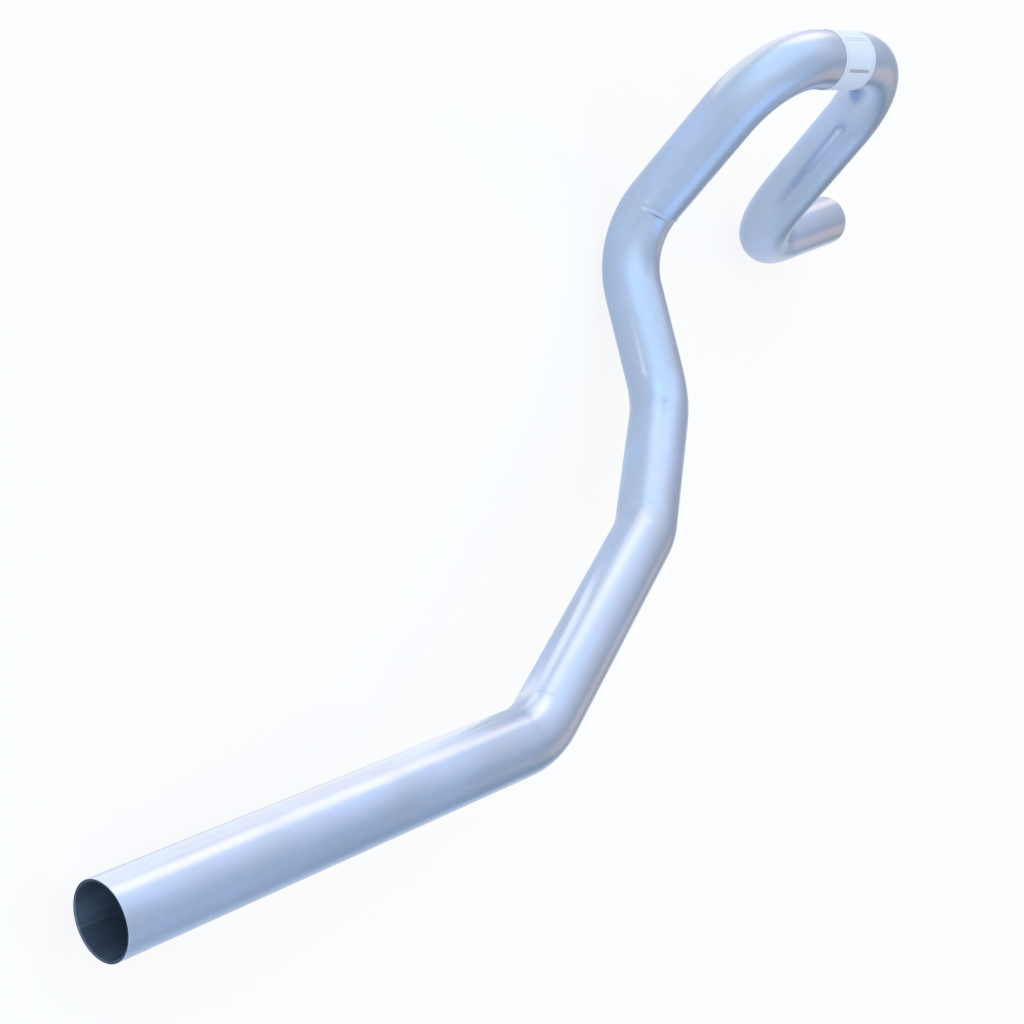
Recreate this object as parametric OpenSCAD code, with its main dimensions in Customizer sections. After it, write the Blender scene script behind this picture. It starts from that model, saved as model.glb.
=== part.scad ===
// Tail pipe bent from one length of round steel tube, with a paper label stuck round its arch.
// The tube is set out as a bender makes it: feed a straight, turn the tube, pull a bend, and so on.
// The origin is the centre of the near opening, and the pipe lies as it comes to rest on a flat floor:
// on the rim of its near end, the outside of bend 4 and the outside of bend 7.

/* [Tube] */
// Outside diameter of the tube
tube_od = 50.8; // [38:0.1:64]
// Thickness of the tube's wall
tube_wall = 1.5; // [1:0.1:3]
// Radius of every bend, to the middle of the tube
bend_radius = 76.2; // [60:0.1:110]
// Depth of the mark that the bending die leaves at each end of a bend
die_mark = 0.1; // [0.05:0.05:0.3]

/* [Straights] */
// Straight at the near end, up to bend 1
straight_1 = 368; // [200:1:600]
// Straight between bends 1 and 2
straight_2 = 205; // [100:1:350]
// Straight between bends 2 and 3
straight_3 = 116; // [40:1:200]
// Straight between bends 3 and 4
straight_4 = 79; // [30:1:150]
// Straight between bends 4 and 5, the rising leg of the arch
straight_5 = 97; // [60:1:200]
// Straight between bends 5 and 6, the top of the arch
straight_6 = 63; // [55:1:150]
// Straight between bends 6 and 7, the falling leg of the arch
straight_7 = 90; // [60:1:180]
// Straight at the far end, after bend 7
straight_8 = 101; // [50:1:300]

/* [Bends] */
// Angle of bend 1, in degrees
bend_angle_1 = 29.5; // [15:0.5:45]
// Angle of bend 2, in degrees
bend_angle_2 = 16.5; // [8:0.5:30]
// Angle of bend 3, in degrees
bend_angle_3 = 34; // [20:0.5:50]
// Angle of bend 4, in degrees
bend_angle_4 = 64; // [50:0.5:80]
// Angle of bend 5, in degrees
bend_angle_5 = 77; // [60:0.5:90]
// Angle of bend 6, in degrees
bend_angle_6 = 91; // [75:0.5:100]
// Angle of bend 7, in degrees
bend_angle_7 = 92.5; // [75:0.5:105]

/* [Turns] */
// Turn of the tube between bends 1 and 2, in degrees
turn_angle_2 = -20; // [-35:0.5:0]
// Turn of the tube between bends 2 and 3, in degrees
turn_angle_3 = 28.5; // [15:0.5:45]
// Turn of the tube between bends 3 and 4, in degrees
turn_angle_4 = 88; // [75:0.5:100]
// Turn of the tube between bends 4 and 5, in degrees
turn_angle_5 = 94.5; // [80:0.5:110]
// Turn of the tube between bends 5 and 6, in degrees
turn_angle_6 = 4.5; // [-10:0.5:20]
// Turn of the tube between bends 6 and 7, in degrees
turn_angle_7 = 171.5; // [155:0.5:185]

/* [Label] */
// Width of the label along the tube
label_w = 47; // [20:1:52]
// Length of the label round the tube
label_l = 101; // [60:1:110]
// Thickness of the label's paper
label_t = 0.2; // [0.1:0.05:0.5]
// How far the paper stands off the tube, on its glue
label_gap = 0.3; // [0.1:0.1:1]
// How far the label sits past the middle of the arch's top
label_shift = 3; // [-4:0.5:4]
// Where the middle of the label is, turned round the tube from the inside of bend 5
label_turn = 230; // [0:1:359]

/* [Hidden] */
$fn = 192;

tube_r = tube_od / 2;
bore_r = tube_r - tube_wall;
straights = [straight_1, straight_2, straight_3, straight_4,
             straight_5, straight_6, straight_7, straight_8];
bends = [bend_angle_1, bend_angle_2, bend_angle_3, bend_angle_4,
         bend_angle_5, bend_angle_6, bend_angle_7];
turns = [0, turn_angle_2, turn_angle_3, turn_angle_4,
         turn_angle_5, turn_angle_6, turn_angle_7];

// Places in the lists above: the bends that the pipe rests on, and the straight at the top of the arch
resting = [3, 6];
arch_top = len(bends) - 2;

// How far the straights run on over the ends of the bends
die_lap = 0.5;

// The pipe set out along X from its near end, before it is laid down: the axes and the start of straight i
function axes(i) = i == 0 ? about_x(0) : bend_axes(i - 1) * about_z(bends[i - 1]);
function start(i) = i == 0 ? [0, 0, 0] : bend_start(i - 1) + bend_axes(i - 1) * arc(bends[i - 1]);
function bend_axes(i) = axes(i) * about_x(turns[i]);
function bend_start(i) = start(i) + axes(i) * [straights[i], 0, 0];
function arc(a) = bend_radius * [sin(a), 1 - cos(a), 0];
function about_x(a) = [[1, 0, 0], [0, cos(a), -sin(a)], [0, sin(a), cos(a)]];
function about_z(a) = [[cos(a), -sin(a), 0], [sin(a), cos(a), 0], [0, 0, 1]];
function unit(v) = v / norm(v);

// Lowest point of the near rim, and of a bend, when up is the way up
function rim_foot(up) = -tube_r * unit([0, up.y, up.z]);
function bend_foot(i, up) =
    let (u = up * bend_axes(i), low = min(max(atan2(-u.x, u.y), 0), bends[i]))
    bend_start(i) + bend_axes(i) * arc(low) - (tube_r - die_mark) * up;

// Way up of the pipe at rest: the plane through its three feet, found again until the feet stay put
function rest_up(up, tries) =
    tries == 0 ? up
    : let (a = rim_foot(up), b = bend_foot(resting[0], up), c = bend_foot(resting[1], up))
      rest_up(-unit(cross(b - a, c - a)), tries - 1);

way_up = rest_up([0, 0, 1], 12);
lay_roll = atan2(way_up.y, way_up.z);
lay_pitch = asin(way_up.x);

// Start of the label on the top of the arch, and the angle that it wraps
label_start = (straight_6 - label_w) / 2 + label_shift;
label_wrap = label_l / tube_r * 180 / PI;

// Turns a profile, drawn as radius and distance, round the middle of a straight, starting at Y
module spun(angle = 360)
    rotate([90, 0, 90])
        rotate_extrude(angle = angle)
            children();

// A straight runs on over the ends of the bends beside it
module straight(i) {
    before = i == 0 ? 0 : die_lap;
    after = i == len(bends) ? 0 : die_lap;
    spun()
        translate([bore_r, -before])
            square([tube_wall, before + straights[i] + after]);
}

// A bend leaves along X and turns towards Y, and the die leaves it a little narrower than the straights
module elbow(i)
    translate([0, bend_radius, 0])
        rotate([0, 0, -90])
            rotate_extrude(angle = bends[i])
                translate([bend_radius, 0])
                    difference() {
                        circle(r = tube_r - die_mark);
                        circle(r = bore_r - die_mark);
                    }

// Moves its children from the start of straight i to the start of bend i
module to_bend(i)
    translate([straights[i], 0, 0])
        rotate([turns[i], 0, 0])
            children();

// Moves its children from the start of bend i to the straight after it
module round_bend(i)
    translate([0, bend_radius, 0])
        rotate([0, 0, bends[i]])
            translate([0, -bend_radius, 0])
                children();

// The tube from the start of straight i to the far end
module run(i) {
    straight(i);
    if (i < len(bends))
        to_bend(i) {
            elbow(i);
            round_bend(i)
                run(i + 1);
        }
}

// Moves its children along the tube, from the start of straight i to the start of straight last
module follow(last, i = 0)
    if (i == last) children();
    else
        to_bend(i)
            round_bend(i)
                follow(last, i + 1)
                    children();

module laid_down()
    rotate([lay_roll, -lay_pitch, 0])
        children();

module tail_pipe()
    color("lightsteelblue")
        laid_down()
            run(0);

module paper_label()
    color("ghostwhite")
        laid_down()
            follow(arch_top)
                translate([label_start, 0, 0])
                    rotate([label_turn - label_wrap / 2, 0, 0])
                        spun(label_wrap)
                            translate([tube_r + label_gap, 0])
                                square([label_t, label_w]);

tail_pipe();
paper_label();
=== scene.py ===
import bpy
import numpy as np
from mathutils import Matrix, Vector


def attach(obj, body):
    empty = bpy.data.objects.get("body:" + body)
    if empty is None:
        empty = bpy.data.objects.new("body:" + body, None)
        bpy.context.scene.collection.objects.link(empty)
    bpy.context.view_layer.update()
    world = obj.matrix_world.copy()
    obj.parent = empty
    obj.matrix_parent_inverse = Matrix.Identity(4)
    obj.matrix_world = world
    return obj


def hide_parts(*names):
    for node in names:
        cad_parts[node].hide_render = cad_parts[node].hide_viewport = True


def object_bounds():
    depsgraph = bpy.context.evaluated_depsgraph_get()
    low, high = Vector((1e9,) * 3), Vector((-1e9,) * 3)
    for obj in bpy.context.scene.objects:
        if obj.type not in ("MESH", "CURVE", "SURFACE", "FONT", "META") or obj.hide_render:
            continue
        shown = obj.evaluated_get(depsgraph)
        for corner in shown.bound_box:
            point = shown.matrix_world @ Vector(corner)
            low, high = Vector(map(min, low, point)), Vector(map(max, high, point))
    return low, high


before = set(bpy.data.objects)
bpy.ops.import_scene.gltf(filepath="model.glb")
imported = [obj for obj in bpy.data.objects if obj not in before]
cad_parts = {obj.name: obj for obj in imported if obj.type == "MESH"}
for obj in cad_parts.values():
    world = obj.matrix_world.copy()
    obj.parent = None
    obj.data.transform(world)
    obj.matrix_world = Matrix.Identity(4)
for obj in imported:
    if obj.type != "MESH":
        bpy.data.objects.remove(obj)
cadBox = [list(corner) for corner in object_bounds()]
scene = bpy.context.scene
print("frame loaded:", sorted(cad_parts))


# shader helper: sockets that can be added and multiplied, and one call that makes any node
class Socket:
    def __init__(self, graph, out):
        self.graph, self.out = graph, out

    def maths(self, how, *others):
        return self.graph.maths(how, self, *others)

    def __add__(self, other): return self.maths("ADD", other)
    def __radd__(self, other): return self.maths("ADD", other)
    def __sub__(self, other): return self.maths("SUBTRACT", other)
    def __rsub__(self, other): return self.graph.maths("SUBTRACT", other, self)
    def __mul__(self, other): return self.maths("MULTIPLY", other)

    def ramp(self, low, high):  # smooth step: 0 at low, 1 at high
        return self.graph.make("ShaderNodeMapRange", {"interpolation_type": "SMOOTHSTEP"},
                               {"Value": self, "From Min": low, "From Max": high})


class Graph:
    def __init__(self, owner):
        owner.use_nodes = True
        self.tree = owner.node_tree
        self.tree.nodes.clear()

    def make(self, kind, settings=None, sockets=None, out=0):
        node = self.tree.nodes.new(kind)
        for name, value in (settings or {}).items():
            setattr(node, name, value)
        pairs = sockets.items() if isinstance(sockets, dict) else enumerate(sockets or [])
        for key, value in pairs:
            if isinstance(value, Socket):
                self.tree.links.new(value.out, node.inputs[key])
            else:
                node.inputs[key].default_value = value
        return Socket(self, node.outputs[out]) if len(node.outputs) else node

    def maths(self, how, *values):
        return self.make("ShaderNodeMath", {"operation": how}, values)

    def attribute(self, name, out="Vector"):
        return self.make("ShaderNodeAttribute", {"attribute_name": name}, None, out)

    def split(self, vector):
        node = self.make("ShaderNodeSeparateXYZ", None, [vector]).out.node
        return [Socket(self, part) for part in node.outputs]

    def noise(self, vector, scale, detail, rough=0.55, along=1.0, around=1.0):  # may be drawn out along the tube
        drawn = self.make("ShaderNodeVectorMath", {"operation": "MULTIPLY"}, [vector, (along, around, around)])
        return self.make("ShaderNodeTexNoise", None,
                         {"Vector": drawn, "Scale": scale, "Detail": detail, "Roughness": rough})

    def rays(self):  # 1 for what the camera sees, and 1 for what metal or glass shows of it
        ray = self.make("ShaderNodeLightPath").out.node
        names = ("Is Camera Ray", "Is Glossy Ray", "Is Transmission Ray")
        seen, glossy, through = [Socket(self, ray.outputs[name]) for name in names]
        return seen, glossy.maths("MAXIMUM", through)

    def mix(self, share, a, b):  # for colours, this node's inputs are numbers 0, 6 and 7, and its output is 2
        a, b = [value if isinstance(value, Socket) else (*value, 1.0) for value in (a, b)]
        return self.make("ShaderNodeMix", {"data_type": "RGBA"}, {0: share, 6: a, 7: b}, 2)

    def bump(self, strength, distance, height):
        return self.make("ShaderNodeBump", None,
                         {"Strength": strength, "Distance": distance, "Height": height})

    def finish(self, sockets):
        shader = self.make("ShaderNodeBsdfPrincipled", None, sockets)
        self.make("ShaderNodeOutputMaterial", None, [shader])


def newMaterial(name):
    material = bpy.data.materials.new(name)
    return material, Graph(material)


# the tube: a bender's list of straights (m), turns and bends (degrees), as in the CAD
pipe = {
    "outside": 0.0508, "wall": 0.0015, "dieRadius": 0.0762,
    "straights": [0.368, 0.205, 0.116, 0.079, 0.097, 0.063, 0.090, 0.101],
    "bends": [29.5, 16.5, 34.0, 64.0, 77.0, 91.0, 92.5],
    "turns": [0.0, -20.0, 28.5, 88.0, 94.5, 4.5, 171.5],
    "roll": -19.01627, "pitch": 9.56130,            # how the finished pipe lies down
    "columns": 96,
    # metres between rings on straights and on bends, and the number of rings across each end of a bend
    "outsideRings": (0.009, 0.0024, 21), "boreRings": (0.014, 0.0055, 0),
    "acrossEnd": 0.006, "leastStep": 2e-5,
    "lip": 0.00022, "lipRings": (0, 1, 3, 8),       # rounding of the cut ends, and its rings, counted in lips
    "dieMark": 0.0001, "dieSoft": 0.0006,           # a bend is this much narrower, from this length on
    "sideSoft": 0.004,
    # faint line that the die leaves at each end of a bend, on its inner half
    "drag": {"depth": 0.00005, "width": 0.0014, "from": -0.15, "over": 0.9, "fade": 1.5},
    # the pinched line near the end of the fourth bend; peak brings x * exp(-x * x) up to about 1
    "crease": {"bend": 3, "depth": 0.00066, "peak": 2.2, "width": 0.0020, "before": 0.0045,
               "lean": 0.0022, "from": 0.25, "over": 0.5},
}


def aboutX(angle):
    c, s = np.cos(angle), np.sin(angle)
    return np.array([[1, 0, 0], [0, c, -s], [0, s, c]])


def aboutY(angle):
    c, s = np.cos(angle), np.sin(angle)
    return np.array([[c, 0, s], [0, 1, 0], [-s, 0, c]])


def aboutZ(angle):
    c, s = np.cos(angle), np.sin(angle)
    return np.array([[c, -s, 0], [s, c, 0], [0, 0, 1]])


# follows the list: a straight goes on along its own X, and a bend swings about a centre on its own Y
def bendRun():
    radius = pipe["dieRadius"]
    axes = aboutY(np.radians(-pipe["pitch"])) @ aboutX(np.radians(pipe["roll"]))
    run, at, done, twist = [], np.zeros(3), 0.0, 0.0
    for i, length in enumerate(pipe["straights"]):
        run.append({"number": i, "start": done, "end": done + length, "curve": 0.0,
                    "at": at, "axes": axes, "twist": twist})
        at, done = at + axes @ [length, 0, 0], done + length
        if i < len(pipe["bends"]):
            turn, bend = np.radians(pipe["turns"][i]), np.radians(pipe["bends"][i])
            axes, twist = axes @ aboutX(turn), twist + turn
            arc = bend * radius
            run.append({"number": i, "start": done, "end": done + arc, "curve": 1.0 / radius,
                        "at": at, "axes": axes, "twist": twist})
            at = at + axes @ (radius * np.array([np.sin(bend), 1 - np.cos(bend), 0]))
            axes, done = axes @ aboutZ(bend), done + arc
    return run, done


spans, runLength = bendRun()
straightSpans = [span for span in spans if not span["curve"]]
bendSpans = [span for span in spans if span["curve"]]


# for distances d along the tube: its middle, its axes, and the sum of the turns up to there. An angle round
# the tube, less that sum, keeps to one line along the tube from end to end
def place(d):
    d = np.clip(d, 0, runLength)
    middle, frames, twist = np.zeros((len(d), 3)), np.zeros((len(d), 3, 3)), np.zeros(len(d))
    for span in spans:
        mine = (d >= span["start"]) & (d <= span["end"])
        x = d[mine] - span["start"]
        if span["curve"]:
            a = x * span["curve"]
            local = np.stack([np.sin(a), 1 - np.cos(a), 0 * a], 1) / span["curve"]
            frames[mine] = span["axes"] @ np.array([aboutZ(v) for v in a]).reshape(-1, 3, 3)
        else:
            local = np.stack([x, 0 * x, 0 * x], 1)
            frames[mine] = span["axes"]
        middle[mine] = span["at"] + local @ span["axes"].T
        twist[mine] = span["twist"]
    return middle, frames, twist


# distances at which the tube has a ring: closer round bends than on straights, close together at the
# cut ends and, on the outside, across the lines at the ends of the bends
def ringPlaces(onStraight, onBend, across):
    near, reach = pipe["lip"] * np.array(pipe["lipRings"]), pipe["acrossEnd"]
    rings = [near, runLength - near]
    for span in spans:
        start, end = span["start"], span["end"]
        step = onBend if span["curve"] else onStraight
        rings.append(np.linspace(start, end, int(np.ceil((end - start) / step)) + 1))
        if span["curve"] and across:
            rings += [edge + np.linspace(-reach, reach, across) for edge in (start, end)]
    d = np.sort(np.concatenate(rings))
    return d[np.concatenate([[True], np.diff(d) > pipe["leastStep"]])]


# 1 inside a bend and 0 on the straights, over a soft length
def bendShare(d, span, soft):
    into, left = (d - span["start"]) / soft, (span["end"] - d) / soft
    return (0.5 + 0.5 * np.tanh(into / 2)) * (0.5 + 0.5 * np.tanh(left / 2))


# radius of the outside skin at distance d and angle: the tube's own, a little less inside a bend,
# with a faint line at each end of a bend on its inner half, and one pinched crease
def outsideRadius(d, angle):
    r = np.full((len(d), len(angle)), pipe["outside"] / 2)
    drag, crease = pipe["drag"], pipe["crease"]
    for span in bendSpans:
        inner = np.cos(angle - span["twist"])[None, :]          # 1 at the inside of this bend
        r -= pipe["dieMark"] * bendShare(d, span, pipe["dieSoft"])[:, None]
        half = np.clip((inner - drag["from"]) / drag["over"], 0, 1) ** drag["fade"]
        for edge in (span["start"], span["end"]):
            x = (d[:, None] - edge) / drag["width"]
            r -= drag["depth"] * half * np.exp(-x * x)
        if span["number"] == crease["bend"]:
            lean = crease["lean"] * np.sin(angle - span["twist"])[None, :]      # it runs a little aslant
            x = (d[:, None] - span["end"] + crease["before"] - lean) / crease["width"]
            share = np.clip((inner - crease["from"]) / crease["over"], 0, 1)
            r += crease["depth"] * crease["peak"] * x * np.exp(-x * x) * share
    return r


# skin = middle + radius * (cos(angle) * Y + sin(angle) * Z), ring by ring
def skin(d, angle, radius):
    middle, frames, twist = place(d)
    local = angle - twist[:, None]
    outwards = np.cos(local)[..., None] * frames[:, None, :, 1] + np.sin(local)[..., None] * frames[:, None, :, 2]
    return middle[:, None, :] + radius[..., None] * outwards


# joins rings into quads, closed round the tube and from the last ring back to the first
def ringQuads(rings, columns):
    i, j = np.arange(rings)[:, None], np.arange(columns)[None, :]
    nextI, nextJ = (i + 1) % rings, (j + 1) % columns
    corners = [i * columns + j, i * columns + nextJ, nextI * columns + nextJ, nextI * columns + j]
    return np.stack(corners, -1).reshape(-1, 4)


def fillMesh(name, points, faces, smooth, slots=None):
    mesh = bpy.data.meshes.new(name)
    mesh.vertices.add(len(points))
    mesh.vertices.foreach_set("co", np.asarray(points, np.float32).ravel())
    mesh.loops.add(faces.size)
    mesh.loops.foreach_set("vertex_index", faces.astype(np.int32).ravel())
    mesh.polygons.add(len(faces))
    mesh.polygons.foreach_set("loop_start", np.arange(0, faces.size, faces.shape[1], dtype=np.int32))
    mesh.polygons.foreach_set("use_smooth", smooth)
    if slots is not None:
        mesh.polygons.foreach_set("material_index", slots.astype(np.int32))
    mesh.update(calc_edges=True)
    mesh.validate()
    piece = bpy.data.objects.new(name, mesh)
    scene.collection.objects.link(piece)
    return piece


def addLayer(piece, name, kind, field, values):
    layer = piece.data.attributes.new(name, kind, "POINT")
    layer.data.foreach_set(field, values.astype(np.float32).ravel())


def makePipe():
    n = pipe["columns"]
    angle = np.arange(n) * 2 * np.pi / n
    outD, boreD = ringPlaces(*pipe["outsideRings"]), ringPlaces(*pipe["boreRings"])
    lip, boreRadius = pipe["lip"], pipe["outside"] / 2 - pipe["wall"]

    def rounding(d):  # how far the skin draws back at the two cut ends: a quarter circle
        over = np.maximum(lip - np.minimum(d, runLength - d), 0)
        return (lip - np.sqrt(lip * lip - over * over))[:, None]

    outer = skin(outD, angle, outsideRadius(outD, angle) - rounding(outD))
    inside = skin(boreD, angle, boreRadius + rounding(boreD) + 0 * angle[None, :])
    # rings in one closed strip: out along the outside, back along the bore
    both = np.concatenate([outD, boreD[::-1]])
    points = np.concatenate([outer, inside[::-1]])
    rings = len(points)
    quads = ringQuads(rings, n)
    # slots: 0 is the coat, 1 the bore, and 2 the two cut edges, which are flat
    strip = np.arange(len(quads)) // n
    slots = np.where(strip < len(outD) - 1, 0, 1)
    slots[(strip == len(outD) - 1) | (strip == rings - 1)] = 2
    piece = fillMesh("tailPipe", points.reshape(-1, 3), quads, slots < 2, slots)
    # the tube as it was before bending: distance along, then the two sides of its round section
    across, up = np.cos(angle) * boreRadius, np.sin(angle) * boreRadius
    unbent = np.stack([np.repeat(both, n), np.tile(across, rings), np.tile(up, rings)], 1)
    addLayer(piece, "unbent", "FLOAT_VECTOR", "vector", unbent)
    # how far into a bend, and on which side of it: 1 inside, -1 outside
    side = sum(bendShare(both, span, pipe["sideSoft"])[:, None] * np.cos(angle - span["twist"])[None, :]
               for span in bendSpans)
    addLayer(piece, "bendSide", "FLOAT", "value", side)
    return piece


tailPipe = makePipe()
print("tail pipe:", len(tailPipe.data.vertices), "points,", len(tailPipe.data.polygons), "faces")

# satin aluminium coat on steel
coat = {
    "colour": (0.45, 0.56, 0.78), "grey": (0.44, 0.525, 0.68), "pale": (0.50, 0.62, 0.85),
    "clouds": {"along": 4.0, "around": 9.0, "scale": 3.0, "detail": 4.0},       # slow patches of the dip coat
    "lines": {"along": 2.0, "around": 420.0, "scale": 1.0, "detail": 3.0},      # drawn lines along the tube
    "mottle": {"scale": 620.0, "detail": 2.0},                                  # grain of the coat
    "cloudShare": 0.86, "lineShare": 0.06, "mottleShare": 0.08,
    "greyToColour": (0.36, 0.62), "colourToPale": (0.52, 0.72), "paleShare": 0.5,
    "stains": {"along": 14.0, "around": 26.0, "scale": 1.0, "detail": 2.0, "rough": 0.5},
    "stained": (0.56, 0.74), "stain": (0.41, 0.44, 0.48), "stainShare": 0.16,
    "stretched": (0.15, 1.0), "stretchShare": 0.18,                             # outside of a bend
    "roughness": 0.27, "roughLines": 0.02, "roughClouds": 0.10, "roughStretch": 0.04, "roughStains": 0.05,
    "bump": (0.01, 0.00005), "coatWeight": 0.12, "coatRoughness": 0.2,
}


def makeCoat():
    material, g = newMaterial("aluminisedCoat")
    where = g.attribute("unbent")
    side = g.attribute("bendSide", "Fac")
    clouds, lines, mottle = [g.noise(where, **coat[name]) for name in ("clouds", "lines", "mottle")]
    stains = g.noise(where, **coat["stains"]).ramp(*coat["stained"])
    stretch = (0.0 - side).ramp(*coat["stretched"])
    tone = clouds * coat["cloudShare"] + lines * coat["lineShare"] + mottle * coat["mottleShare"]
    colour = g.mix(tone.ramp(*coat["greyToColour"]), coat["grey"], coat["colour"])
    colour = g.mix(tone.ramp(*coat["colourToPale"]) * coat["paleShare"], colour, coat["pale"])
    colour = g.mix(stains * coat["stainShare"], colour, coat["stain"])
    colour = g.mix(stretch * coat["stretchShare"], colour, coat["grey"])
    rough = coat["roughness"] + (lines - 0.5) * coat["roughLines"] + (clouds - 0.5) * coat["roughClouds"]
    rough = rough + stretch * coat["roughStretch"] + stains * coat["roughStains"]
    g.finish({"Base Color": colour, "Metallic": 1.0, "Roughness": rough, "Normal": g.bump(*coat["bump"], lines),
              "Coat Weight": coat["coatWeight"], "Coat Roughness": coat["coatRoughness"]})
    return material


# the bore: the same strip, with its colours painted dark navy to teal as painted shade inside the tube, and the
# two faint edges of the weld near the mouth
bore = {
    "colour": (0.172, 0.228, 0.345), "pale": (0.255, 0.372, 0.54), "colourToPale": (0.35, 0.68),
    "clouds": {"along": 5.0, "around": 14.0, "scale": 3.0, "detail": 4.0},
    "lines": {"along": 2.0, "around": 500.0, "scale": 1.0, "detail": 3.0},
    "cloudShare": 0.82, "lineShare": 0.18,
    "metallic": 0.75, "roughness": 0.42, "roughClouds": 0.2,
    "weldAngle": 4.85, "weldHalf": 0.12, "weldEdge": (0.006, 0.06),     # radians round the tube
    "weldFades": (0.010, 0.042),                                        # metres from the mouth
    "weld": (0.40, 0.50, 0.62), "weldShare": 0.35,
    "bump": (0.3, 0.0002), "lineHeight": 0.15,
}


def makeBore():
    material, g = newMaterial("paintedShadeBore")
    where = g.attribute("unbent")
    x, y, z = g.split(where)
    clouds, lines = g.noise(where, **bore["clouds"]), g.noise(where, **bore["lines"])
    off = (g.maths("ARCTAN2", z, y) - bore["weldAngle"]).maths("WRAP", np.pi, -np.pi).maths("ABSOLUTE")
    weld = 1.0 - (off - bore["weldHalf"]).maths("ABSOLUTE").ramp(*bore["weldEdge"])
    weld = weld * (1.0 - x.ramp(*bore["weldFades"]))
    tone = clouds * bore["cloudShare"] + lines * bore["lineShare"]
    # painted shade: the bore's dark navy and teal colours
    colour = g.mix(tone.ramp(*bore["colourToPale"]), bore["colour"], bore["pale"])
    colour = g.mix(weld * bore["weldShare"], colour, bore["weld"])
    g.finish({"Base Color": colour, "Metallic": bore["metallic"],
              "Roughness": bore["roughness"] + (clouds - 0.5) * bore["roughClouds"],
              "Normal": g.bump(*bore["bump"], weld + lines * bore["lineHeight"])})
    return material


# the sawn edge of the wall, painted near black as painted shade
cutEdge = {
    "colour": (0.02, 0.024, 0.032), "bright": (0.065, 0.075, 0.092), "colourToBright": (0.4, 0.62),
    "grain": {"scale": 900.0, "detail": 3.0}, "patches": {"scale": 60.0, "detail": 2.0}, "grainShare": 0.5,
    "roughness": 0.38, "roughGrain": 0.2, "bump": (0.25, 0.0001),
}


def makeCutEdge():
    material, g = newMaterial("shadedSawnEdge")
    where = g.attribute("unbent")
    grain, patches = g.noise(where, **cutEdge["grain"]), g.noise(where, **cutEdge["patches"])
    tone = grain * cutEdge["grainShare"] + patches * (1 - cutEdge["grainShare"])
    # painted shade: the cut edge's colours are near black
    colour = g.mix(tone.ramp(*cutEdge["colourToBright"]), cutEdge["colour"], cutEdge["bright"])
    g.finish({"Base Color": colour, "Metallic": 1.0,
              "Roughness": cutEdge["roughness"] + (grain - 0.5) * cutEdge["roughGrain"],
              "Normal": g.bump(*cutEdge["bump"], grain)})
    return material


for finish in (makeCoat(), makeBore(), makeCutEdge()):
    tailPipe.data.materials.append(finish)
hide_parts("tail_pipe")
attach(tailPipe, "root")
print("tail pipe dressed")

# the blank paper label round the crown of the arch
label = {
    "width": 0.047, "length": 0.101,                # along the tube, and round it
    "straight": 5, "start": 0.011,                  # the crown's place in the list, and metres along it
    "middle": 230.0,                                # degrees round the tube
    "columns": 57, "rows": 141,
    "under": 0.00003, "paper": 0.00015,             # glue and paper
    "corner": 0.0022, "cornerFade": 12,
    "lift": 0.00010, "liftReach": 0.0012, "liftWaves": (9, 3),
    "ripple": 0.000035, "rippleWaves": (46, 5), "rippleSway": 3.0,
    "colour": (0.69, 0.76, 0.89), "fibreColour": (0.63, 0.70, 0.84),
    "fibre": {"scale": 160.0, "detail": 4.0}, "fibres": (0.3, 0.75), "fibreShare": 0.35,
    "roughness": 0.52, "roughFibre": 0.12, "specular": 0.4, "bump": (0.15, 0.00004),
    # marks: metres in from the sides, degrees round the tube, and half the width of a soft edge
    "rule": (0.20, 0.20, 0.27), "ruleIn": (0.0040, 0.0044), "ruleSoft": 0.0001, "ruleShare": 0.7,
    "field": (194.0, 262.0), "fieldSoft": 0.4,
    "bar": (0.32, 0.29, 0.34), "sideSoft": 0.0002,
    "thinBars": ((184.6, 186.6), (190.4, 192.0)), "thinIn": 0.006, "thinSoft": 0.3, "thinShare": 0.55,
    "wideBar": (250.0, 257.0), "wideIn": 0.008, "wideSoft": 0.4, "wideShare": 0.7,
}


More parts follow.
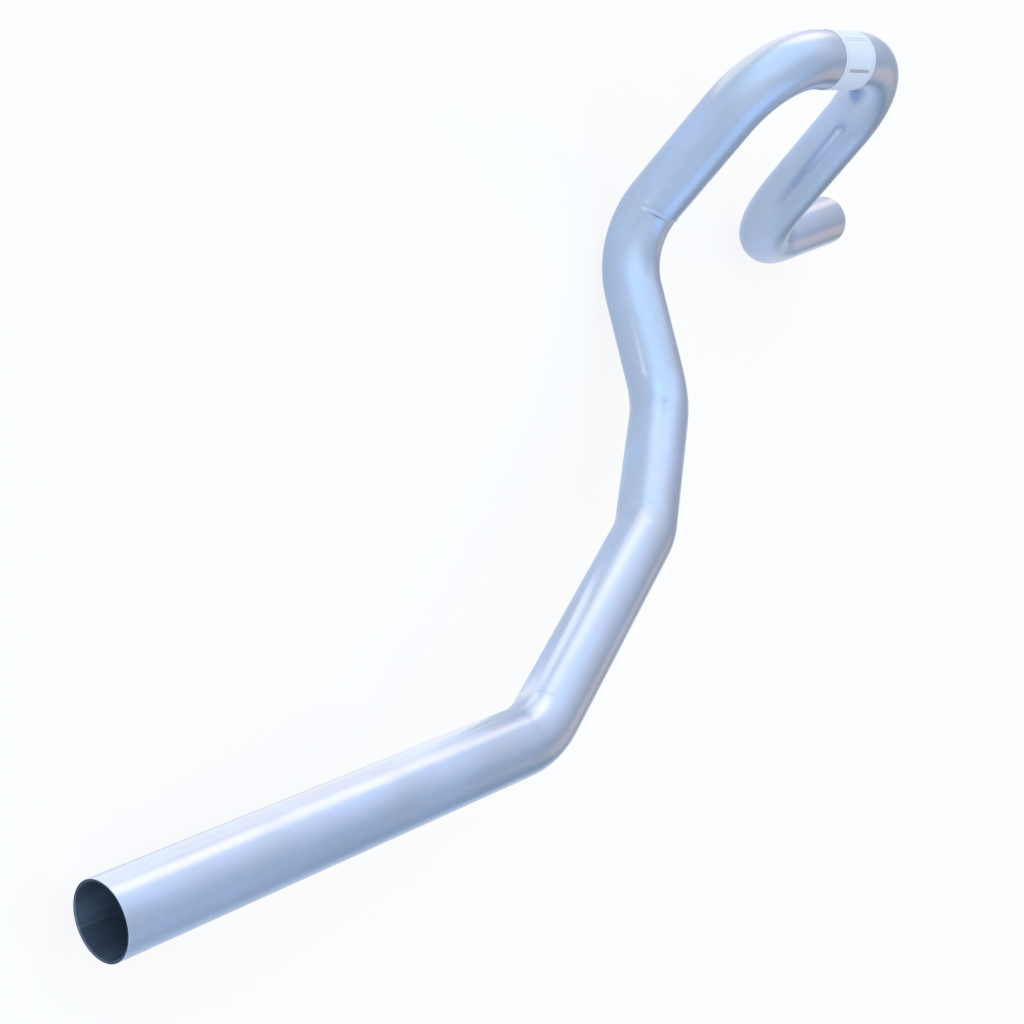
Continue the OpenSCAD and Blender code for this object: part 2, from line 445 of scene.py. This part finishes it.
# sheet over (u, v), 0 to 1 each way: u goes along the tube and v round it. The radius is the tube's plus glue
# and paper, with a slight lift towards the edges that comes and goes, and a fine ripple round the tube
def makeLabel():
    crown = straightSpans[label["straight"]]
    width, length, paper = label["width"], label["length"], label["paper"]
    tubeRadius = pipe["outside"] / 2
    first = np.radians(label["middle"]) - length / tubeRadius / 2 + crown["twist"]
    cols, rows = label["columns"], label["rows"]
    u, v = np.meshgrid(np.linspace(0, 1, cols), np.linspace(0, 1, rows), indexing="ij")
    x, y = u * width, v * length
    # rounded corners: the ends are drawn in where a corner's circle cuts them
    corner = label["corner"]
    inX = np.maximum(corner - np.minimum(x, width - x), 0)
    pull = corner - np.sqrt(np.maximum(corner * corner - inX * inX, 0))
    pull = pull * np.abs(2 * v - 1) ** label["cornerFade"]
    y = y + np.where(v < 0.5, pull, -pull)
    edge = np.minimum(np.minimum(u, 1 - u) * width, np.minimum(v, 1 - v) * length)
    (liftV, liftU), (rippleV, rippleU) = label["liftWaves"], label["rippleWaves"]
    lift = label["lift"] * np.exp(-edge / label["liftReach"]) * (0.5 + 0.5 * np.sin(liftV * v + liftU * u))
    sway = label["rippleSway"] * np.sin(rippleU * u)
    ripple = label["ripple"] * np.sin(rippleV * v + sway) * np.sin(np.pi * u)
    top = tubeRadius + label["under"] + paper + lift + ripple
    d, angle = crown["start"] + label["start"] + x[:, 0], first + y / tubeRadius
    points = np.concatenate([skin(d, angle, radius).reshape(-1, 3) for radius in (top, top - paper)])
    # two faces of quads, and a rim that joins the outline above to the one below
    n = cols * rows
    grid = np.arange(n).reshape(cols, rows)
    face = np.stack([grid[:-1, :-1], grid[1:, :-1], grid[1:, 1:], grid[:-1, 1:]], -1).reshape(-1, 4)
    ring = np.concatenate([grid[0], grid[1:, -1], grid[-1, -2::-1], grid[-2:0:-1, 0]])
    following = np.roll(ring, -1)
    rim = np.stack([ring, following, following + n, ring + n], 1)
    faces = np.concatenate([face, face[:, ::-1] + n, rim])
    piece = fillMesh("paperLabel", points, faces, np.arange(len(faces)) < 2 * len(face))   # the rim is flat
    flat = np.tile(np.stack([x.ravel(), y.ravel()], 1), (2, 1))
    uvs = piece.data.uv_layers.new(name="sheet")
    uvs.data.foreach_set("uv", (flat[faces.ravel()] / length).astype(np.float32).ravel())
    return piece


def makePaper():
    material, g = newMaterial("labelPaper")
    sheet = g.make("ShaderNodeUVMap", {"uv_map": "sheet"})
    u, v, w = g.split(sheet)
    wide, length, tube = label["width"], label["length"], pipe["outside"]
    x = u * length                                                          # metres along the tube
    turn = v * np.degrees(2 * length / tube) + (label["middle"] - np.degrees(length / tube))

    def band(value, low, high, soft):
        return value.ramp(low - soft, low + soft) * (1.0 - value.ramp(high - soft, high + soft))

    def within(side):  # 1 on the sheet, apart from a strip along each side
        return band(x, side, wide - side, label["sideSoft"])

    (ruleNear, ruleFar), ruleSoft = label["ruleIn"], label["ruleSoft"]
    rules = band(x, ruleNear, ruleFar, ruleSoft) + band(x, wide - ruleFar, wide - ruleNear, ruleSoft)
    rules = rules * band(turn, *label["field"], label["fieldSoft"])
    thinOne, thinTwo = [band(turn, *ends, label["thinSoft"]) for ends in label["thinBars"]]
    thinBars = (thinOne + thinTwo) * within(label["thinIn"]) * label["thinShare"]
    wideBar = band(turn, *label["wideBar"], label["wideSoft"]) * within(label["wideIn"]) * label["wideShare"]
    fibre = g.noise(sheet, **label["fibre"])
    colour = g.mix(fibre.ramp(*label["fibres"]) * label["fibreShare"], label["colour"], label["fibreColour"])
    colour = g.mix(rules.maths("MINIMUM", 1.0) * label["ruleShare"], colour, label["rule"])
    colour = g.mix((thinBars + wideBar).maths("MINIMUM", 1.0), colour, label["bar"])
    g.finish({"Base Color": colour, "Roughness": label["roughness"] + (fibre - 0.5) * label["roughFibre"],
              "Normal": g.bump(*label["bump"], fibre), "Specular IOR Level": label["specular"]})
    return material


paperLabel = makeLabel()
paperLabel.data.materials.append(makePaper())
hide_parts("paper_label")
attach(paperLabel, "root")
print("label:", len(paperLabel.data.vertices), "points")

# floor, light and camera
white = (1.0, 1.0, 1.0, 1.0)
stage = {
    "floor": cadBox[0][2], "size": 60.0, "middle": (0.6, 0.2),
    "colour": (0.90, 0.94, 0.98), "roughness": 0.08, "specular": 1.0, "glow": 0.85,
    "dimSide": (-0.20, 0.10), "glowInMetal": (0.05, 0.55),   # the metal sees less white on the side of -Y
}


# a satin white table. What the camera and the metal see of it is part plain white, so its shadow is light. What
# the metal sees of it glows whiter towards +Y and dimmer towards -Y: painted light and shade in its reflections
def makeFloor():
    half, (x, y) = stage["size"] / 2, stage["middle"]
    corners = np.array([[-half, -half, 0], [half, -half, 0], [half, half, 0], [-half, half, 0]])
    floor = fillMesh("floor", corners + [x, y, stage["floor"]], np.array([[0, 1, 2, 3]]), np.ones(1, bool))
    material, g = newMaterial("paleFloor")
    table = g.make("ShaderNodeBsdfPrincipled", None, {
        "Base Color": (*stage["colour"], 1.0), "Roughness": stage["roughness"],
        "Specular IOR Level": stage["specular"]})
    plain = g.make("ShaderNodeEmission", None, [white, 1.0])
    seen, inMetal = g.rays()
    x, y, z = g.split(g.make("ShaderNodeTexCoord", None, None, "Object"))
    dim, bright = stage["glowInMetal"]
    # painted light and shade: the floor's white glow in the metal fades from bright on +Y to dim on -Y
    share = seen * stage["glow"] + inMetal * (y.ramp(*stage["dimSide"]) * (bright - dim) + dim)
    g.make("ShaderNodeOutputMaterial", None, [g.make("ShaderNodeMixShader", None, [share, table, plain])])
    floor.data.materials.append(material)


makeFloor()

# warm light panels that lie on the floor. The metal's edges show them, and the camera doesn't
panels = {"above": 0.001, "each": [
    {"low": (-0.15, 0.03), "high": (0.45, 0.26), "colour": (1.0, 0.74, 0.48), "level": 0.65},   # long straight
    {"low": (0.45, 0.17), "high": (0.555, 0.37), "colour": (1.0, 0.80, 0.60), "level": 0.85},   # the next one
    {"low": (0.68, 0.57), "high": (1.40, 1.10), "colour": (1.0, 0.74, 0.48), "level": 0.55},    # behind the arch
]}


def makePanel(panel):
    (x0, y0), (x1, y1) = panel["low"], panel["high"]
    lamp = bpy.data.lights.new("lightPanel", "AREA")
    lamp.shape, lamp.size, lamp.size_y = "RECTANGLE", x1 - x0, y1 - y0
    lamp.energy = panel["level"] * np.pi * (x1 - x0) * (y1 - y0)
    lamp.color = panel["colour"]
    lightPanel = bpy.data.objects.new("lightPanel", lamp)
    lightPanel.location = ((x0 + x1) / 2, (y0 + y1) / 2, stage["floor"] + panels["above"])
    lightPanel.rotation_euler = (np.pi, 0.0, 0.0)      # it shines up
    lightPanel.visible_camera = False
    scene.collection.objects.link(lightPanel)


for panel in panels["each"]:
    makePanel(panel)

# a soft room: each lobe adds its own light round one way, from nothing at the wide angle to all at the narrow.
# The camera sees the room as plain white, and the metal sees a little of that white too
room = {"plain": (0.723, 0.788, 0.871), "whiteInMetal": 0.15, "lobes": [
    # azimuth and elevation, wide and narrow angles, and the light that it adds
    (57, -1, 30, 18, (1.35, 0.91, 0.64)),           # large window behind the arch
    (29, 23, 53, 17, (0.35, 0.25, 0.21)),           # its glow on the wall
    (109, 24, 69, 13, (0.45, 0.58, 0.65)),          # open sky side
    (105, 6, 26, 6, (0.12, 0.26, 0.18)),            # its low window
    (-13, 5, 62, 4, (-0.53, -0.49, -0.49)),         # dim corner
    (-26, 22, 20, 6, (0.71, 0.41, 0.25)),           # warm lamp in it
    (-88, 40, 28, 6, (0.14, 0.28, 0.42)),           # skylight on the right
    (186, 44, 53, 8, (0.22, 0.21, 0.15)),           # lit wall behind the camera
]}


def makeRoom():
    world = bpy.data.worlds.new("softRoom")
    g = Graph(world)
    looking = g.make("ShaderNodeTexCoord", None, None, "Generated")
    total = room["plain"]
    for *angles, adds in room["lobes"]:
        azimuth, elevation, wide, narrow = np.radians(angles)
        flat = np.cos(elevation)
        way = (flat * np.cos(azimuth), flat * np.sin(azimuth), np.sin(elevation))
        facing = g.make("ShaderNodeVectorMath", {"operation": "DOT_PRODUCT"}, [looking, way], "Value")
        share = facing.ramp(np.cos(wide), np.cos(narrow))
        part = g.make("ShaderNodeVectorMath", {"operation": "SCALE"}, {"Vector": adds, "Scale": share})
        total = g.make("ShaderNodeVectorMath", {"operation": "ADD"}, [total, part])
    light = g.make("ShaderNodeBackground", None, [total, 1.0])
    plain = g.make("ShaderNodeBackground", None, [white, 1.0])
    seen, inMetal = g.rays()
    share = seen + inMetal * room["whiteInMetal"]
    g.make("ShaderNodeOutputWorld", None, [g.make("ShaderNodeMixShader", None, [share, light, plain])])
    return world


scene.world = makeRoom()

view = {
    "at": (-0.71747, 0.34723, 0.75395), "right": (0.51171, -0.11716, 0.85113),
    "up": (0.17992, 0.98330, 0.02718), "forward": (0.84011, -0.13923, -0.52425),
    "lens": 64.716, "sensor": 36.0, "clip": (0.05, 100.0),
}
camera = bpy.data.cameras.new("camera")
camera.sensor_width, camera.lens = view["sensor"], view["lens"]
camera.clip_start, camera.clip_end = view["clip"]
eye = bpy.data.objects.new("camera", camera)
turn = Matrix((view["right"], view["up"], [-v for v in view["forward"]])).transposed()
eye.matrix_world = Matrix.Translation(view["at"]) @ turn.to_4x4()
scene.collection.objects.link(eye)
scene.camera = eye
scene.view_settings.view_transform = "Standard"
print("stage set")
